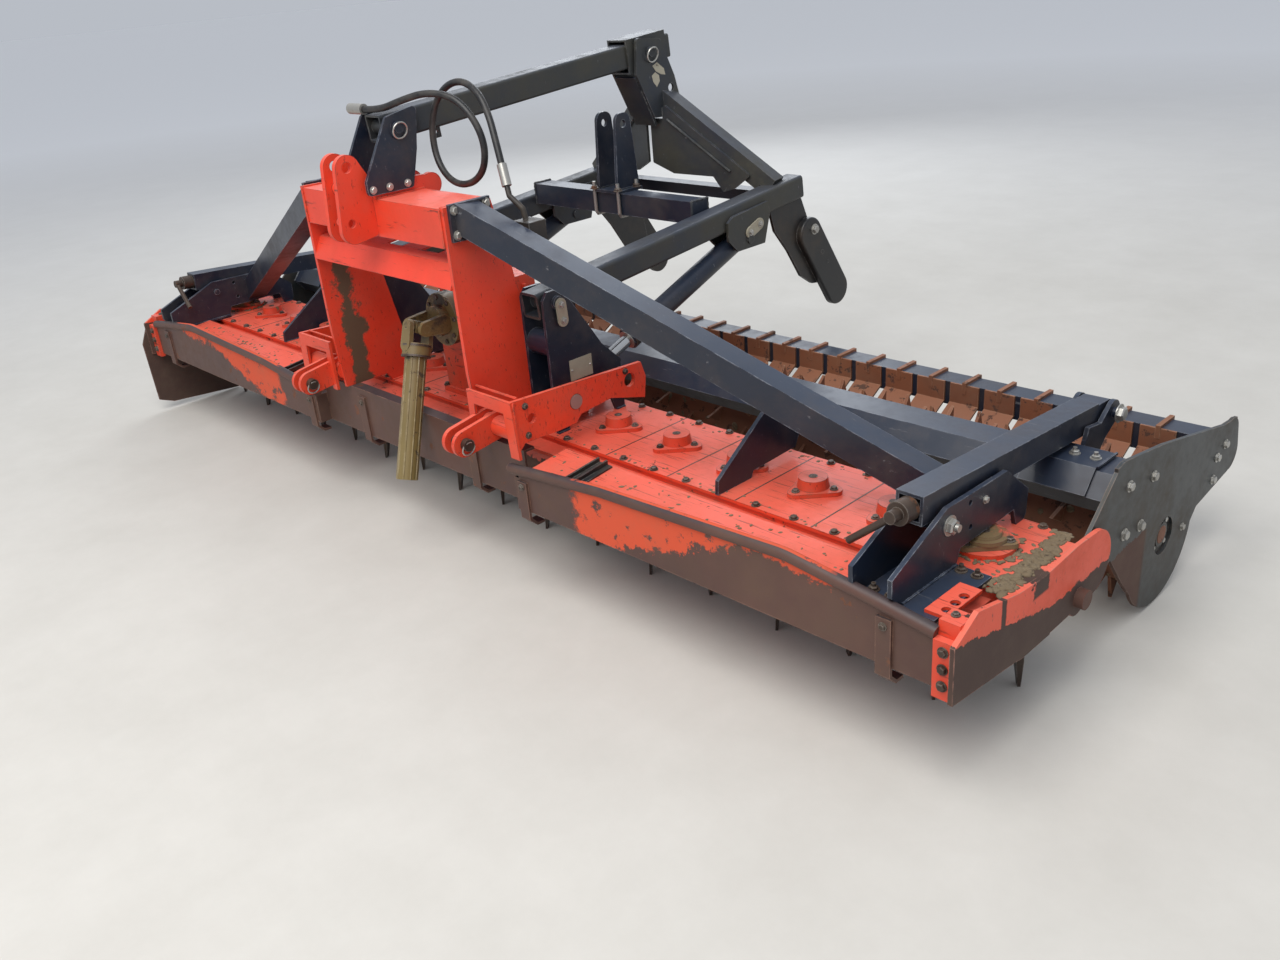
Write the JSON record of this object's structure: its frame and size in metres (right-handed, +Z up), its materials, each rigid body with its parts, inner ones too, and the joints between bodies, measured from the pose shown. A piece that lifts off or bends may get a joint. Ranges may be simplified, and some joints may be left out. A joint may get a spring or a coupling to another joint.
{
  "type": "power harrow",
  "caption": "Mounted power harrow: vertical rotors under an orange gear trough, a toothed packer roller on depth spindles and a lifting rear hitch for a seed drill.",
  "frame": {"origin": "under the middle of the bounding box, on the ground", "axes": "+X across the machine, +Y to the rear, +Z up"},
  "size_m": [4.15, 1.8589, 1.484],
  "materials": {
    "orange": "worn gloss paint",
    "navy": "worn gloss paint",
    "rust": "rusted and earth stained",
    "ochre": "dirty yellow paint",
    "steel": "zinc plated",
    "rubber": "matt black"
  },
  "bodies": {
    "frame": {"gear_trough": "orange", "trough_cover": "orange", "bearing_caps": "orange", "end_skins": "orange", "corner_brackets": "orange", "front_shield": "rust", "front_ledge": "orange", "side_deflector": "orange", "headstock_plates": "orange", "headstock_beam": "orange", "top_link_clevis": "orange", "stay_brackets": "navy", "lower_hitch": "orange", "lower_hitch_pins": "rust", "braces": "navy", "cover_gussets": "navy", "spindle_brackets": "navy", "hitch_supports": "navy", "gearbox": "orange", "slip_clutch": "ochre", "valve_block": "steel", "hose_couplings": "steel", "hydraulic_hose": "rubber"},
    "joint_cross": {"joint_cross": "ochre"},
    "half_shaft": {"half_shaft": "ochre"},
    "roller_frame": {"roller_beam": "navy", "roller_end_plates": "navy", "scraper_beam": "navy", "scrapers": "rust", "spindle_saddles": "navy"},
    "packer_roller": {"packer_roller": "rust"},
    "spindle_trunnions": {"spindle_trunnions": "navy"},
    "spindle_tubes": {"spindle_tubes": "navy", "spindle_cranks": "rust"},
    "rear_hitch": {"hitch_arms": "navy", "hitch_cross_bars": "navy", "clevis_posts": "navy", "drill_hooks": "navy", "hitch_mast": "navy"},
    "top_stay": {"top_stay": "navy"},
    "stay_sleeve": {"stay_sleeve": "navy"},
    "ram_barrels": {"ram_barrels": "navy"},
    "ram_rods": {"ram_rods": "steel"},
    "rotor_01": {"rotor_01": "rust"},
    "rotor_02": {"rotor_02": "rust"},
    "rotor_03": {"rotor_03": "rust"},
    "rotor_04": {"rotor_04": "rust"},
    "rotor_05": {"rotor_05": "rust"},
    "rotor_06": {"rotor_06": "rust"},
    "rotor_07": {"rotor_07": "rust"},
    "rotor_08": {"rotor_08": "rust"},
    "rotor_09": {"rotor_09": "rust"},
    "rotor_10": {"rotor_10": "rust"},
    "rotor_11": {"rotor_11": "rust"},
    "rotor_12": {"rotor_12": "rust"},
    "rotor_13": {"rotor_13": "rust"},
    "rotor_14": {"rotor_14": "rust"},
    "rotor_15": {"rotor_15": "rust"},
    "rotor_16": {"rotor_16": "rust"}
  },
  "joints": [
    {"name": "rotor_01_turn", "type": "hinge", "parent": "frame", "child": "rotor_01", "pos_m": [-1.875, -0.4205, 0.2], "axis": [0, 0, 1], "continuous": true},
    {"name": "rotor_02_turn", "type": "hinge", "parent": "frame", "child": "rotor_02", "pos_m": [-1.625, -0.4205, 0.2], "axis": [0, 0, 1], "continuous": true},
    {"name": "rotor_03_turn", "type": "hinge", "parent": "frame", "child": "rotor_03", "pos_m": [-1.375, -0.4205, 0.2], "axis": [0, 0, 1], "continuous": true},
    {"name": "rotor_04_turn", "type": "hinge", "parent": "frame", "child": "rotor_04", "pos_m": [-1.125, -0.4205, 0.2], "axis": [0, 0, 1], "continuous": true},
    {"name": "rotor_05_turn", "type": "hinge", "parent": "frame", "child": "rotor_05", "pos_m": [-0.875, -0.4205, 0.2], "axis": [0, 0, 1], "continuous": true},
    {"name": "rotor_06_turn", "type": "hinge", "parent": "frame", "child": "rotor_06", "pos_m": [-0.625, -0.4205, 0.2], "axis": [0, 0, 1], "continuous": true},
    {"name": "rotor_07_turn", "type": "hinge", "parent": "frame", "child": "rotor_07", "pos_m": [-0.375, -0.4205, 0.2], "axis": [0, 0, 1], "continuous": true},
    {"name": "rotor_08_turn", "type": "hinge", "parent": "frame", "child": "rotor_08", "pos_m": [-0.125, -0.4205, 0.2], "axis": [0, 0, 1], "continuous": true},
    {"name": "rotor_09_turn", "type": "hinge", "parent": "frame", "child": "rotor_09", "pos_m": [0.125, -0.4205, 0.2], "axis": [0, 0, 1], "continuous": true},
    {"name": "rotor_10_turn", "type": "hinge", "parent": "frame", "child": "rotor_10", "pos_m": [0.375, -0.4205, 0.2], "axis": [0, 0, 1], "continuous": true},
    {"name": "rotor_11_turn", "type": "hinge", "parent": "frame", "child": "rotor_11", "pos_m": [0.625, -0.4205, 0.2], "axis": [0, 0, 1], "continuous": true},
    {"name": "rotor_12_turn", "type": "hinge", "parent": "frame", "child": "rotor_12", "pos_m": [0.875, -0.4205, 0.2], "axis": [0, 0, 1], "continuous": true},
    {"name": "rotor_13_turn", "type": "hinge", "parent": "frame", "child": "rotor_13", "pos_m": [1.125, -0.4205, 0.2], "axis": [0, 0, 1], "continuous": true},
    {"name": "rotor_14_turn", "type": "hinge", "parent": "frame", "child": "rotor_14", "pos_m": [1.375, -0.4205, 0.2], "axis": [0, 0, 1], "continuous": true},
    {"name": "rotor_15_turn", "type": "hinge", "parent": "frame", "child": "rotor_15", "pos_m": [1.625, -0.4205, 0.2], "axis": [0, 0, 1], "continuous": true},
    {"name": "rotor_16_turn", "type": "hinge", "parent": "frame", "child": "rotor_16", "pos_m": [1.875, -0.4205, 0.2], "axis": [0, 0, 1], "continuous": true},
    {"name": "roller_depth", "type": "hinge", "parent": "frame", "child": "roller_frame", "pos_m": [0, -0.2895, 0.277], "axis": [1, 0, 0], "range_deg": [-3, 14]},
    {"name": "roller_turn", "type": "hinge", "parent": "roller_frame", "child": "packer_roller", "pos_m": [0, 0.2395, 0.21], "axis": [1, 0, 0], "continuous": true},
    {"name": "spindle_swing", "type": "hinge", "parent": "frame", "child": "spindle_trunnions", "pos_m": [0, -0.5885, 0.54], "axis": [1, 0, 0], "range_deg": [-1.83, 8.56]},
    {"name": "spindle_travel", "type": "slide", "parent": "spindle_trunnions", "child": "spindle_tubes", "axis": [0, 0.9977, -0.0671], "range_m": [-0.06848, 0.01467]},
    {"name": "hitch_lift", "type": "hinge", "parent": "frame", "child": "rear_hitch", "pos_m": [0, -0.5185, 0.82], "axis": [1, 0, 0], "range_deg": [0, 25]},
    {"name": "ram_swing", "type": "hinge", "parent": "rear_hitch", "child": "ram_barrels", "pos_m": [0, 0.3625, 0.815], "axis": [1, 0, 0], "range_deg": [-3.57, 0]},
    {"name": "ram_stroke", "type": "slide", "parent": "ram_barrels", "child": "ram_rods", "axis": [0, -0.937, -0.3494], "range_m": [0, 0.12783]},
    {"name": "stay_swing", "type": "hinge", "parent": "frame", "child": "top_stay", "pos_m": [0, -0.6855, 1.327], "axis": [1, 0, 0], "range_deg": [0, 24.22]},
    {"name": "sleeve_swing", "type": "hinge", "parent": "rear_hitch", "child": "stay_sleeve", "pos_m": [0, 0.3795, 1.419], "axis": [1, 0, 0], "range_deg": [-0.776, 0]},
    {"name": "shaft_pitch", "type": "hinge", "parent": "frame", "child": "joint_cross", "pos_m": [0, -0.6885, 0.705], "axis": [-1, 0, 0], "range_deg": [0, 65]},
    {"name": "shaft_swing", "type": "hinge", "parent": "joint_cross", "child": "half_shaft", "pos_m": [0, -0.6885, 0.705], "axis": [0, -0.9127, 0.4086], "range_deg": [-30, 8]}
  ],
  "couplings": [
    {"joint": "rotor_02_turn", "follows": "rotor_01_turn", "ratio": -1},
    {"joint": "rotor_03_turn", "follows": "rotor_01_turn", "ratio": 1},
    {"joint": "rotor_04_turn", "follows": "rotor_01_turn", "ratio": -1},
    {"joint": "rotor_05_turn", "follows": "rotor_01_turn", "ratio": 1},
    {"joint": "rotor_06_turn", "follows": "rotor_01_turn", "ratio": -1},
    {"joint": "rotor_07_turn", "follows": "rotor_01_turn", "ratio": 1},
    {"joint": "rotor_08_turn", "follows": "rotor_01_turn", "ratio": -1},
    {"joint": "rotor_09_turn", "follows": "rotor_01_turn", "ratio": 1},
    {"joint": "rotor_10_turn", "follows": "rotor_01_turn", "ratio": -1},
    {"joint": "rotor_11_turn", "follows": "rotor_01_turn", "ratio": 1},
    {"joint": "rotor_12_turn", "follows": "rotor_01_turn", "ratio": -1},
    {"joint": "rotor_13_turn", "follows": "rotor_01_turn", "ratio": 1},
    {"joint": "rotor_14_turn", "follows": "rotor_01_turn", "ratio": -1},
    {"joint": "rotor_15_turn", "follows": "rotor_01_turn", "ratio": 1},
    {"joint": "rotor_16_turn", "follows": "rotor_01_turn", "ratio": -1},
    {"joint": "spindle_swing", "follows": "roller_depth", "ratio": 0.61161},
    {"joint": "spindle_travel", "follows": "roller_depth", "m_per_rad": -0.28025},
    {"joint": "ram_swing", "follows": "hitch_lift", "ratio": -0.14282},
    {"joint": "ram_stroke", "follows": "hitch_lift", "m_per_rad": 0.29296},
    {"joint": "stay_swing", "follows": "hitch_lift", "ratio": 0.96897},
    {"joint": "sleeve_swing", "follows": "hitch_lift", "ratio": -0.031031}
  ]
}
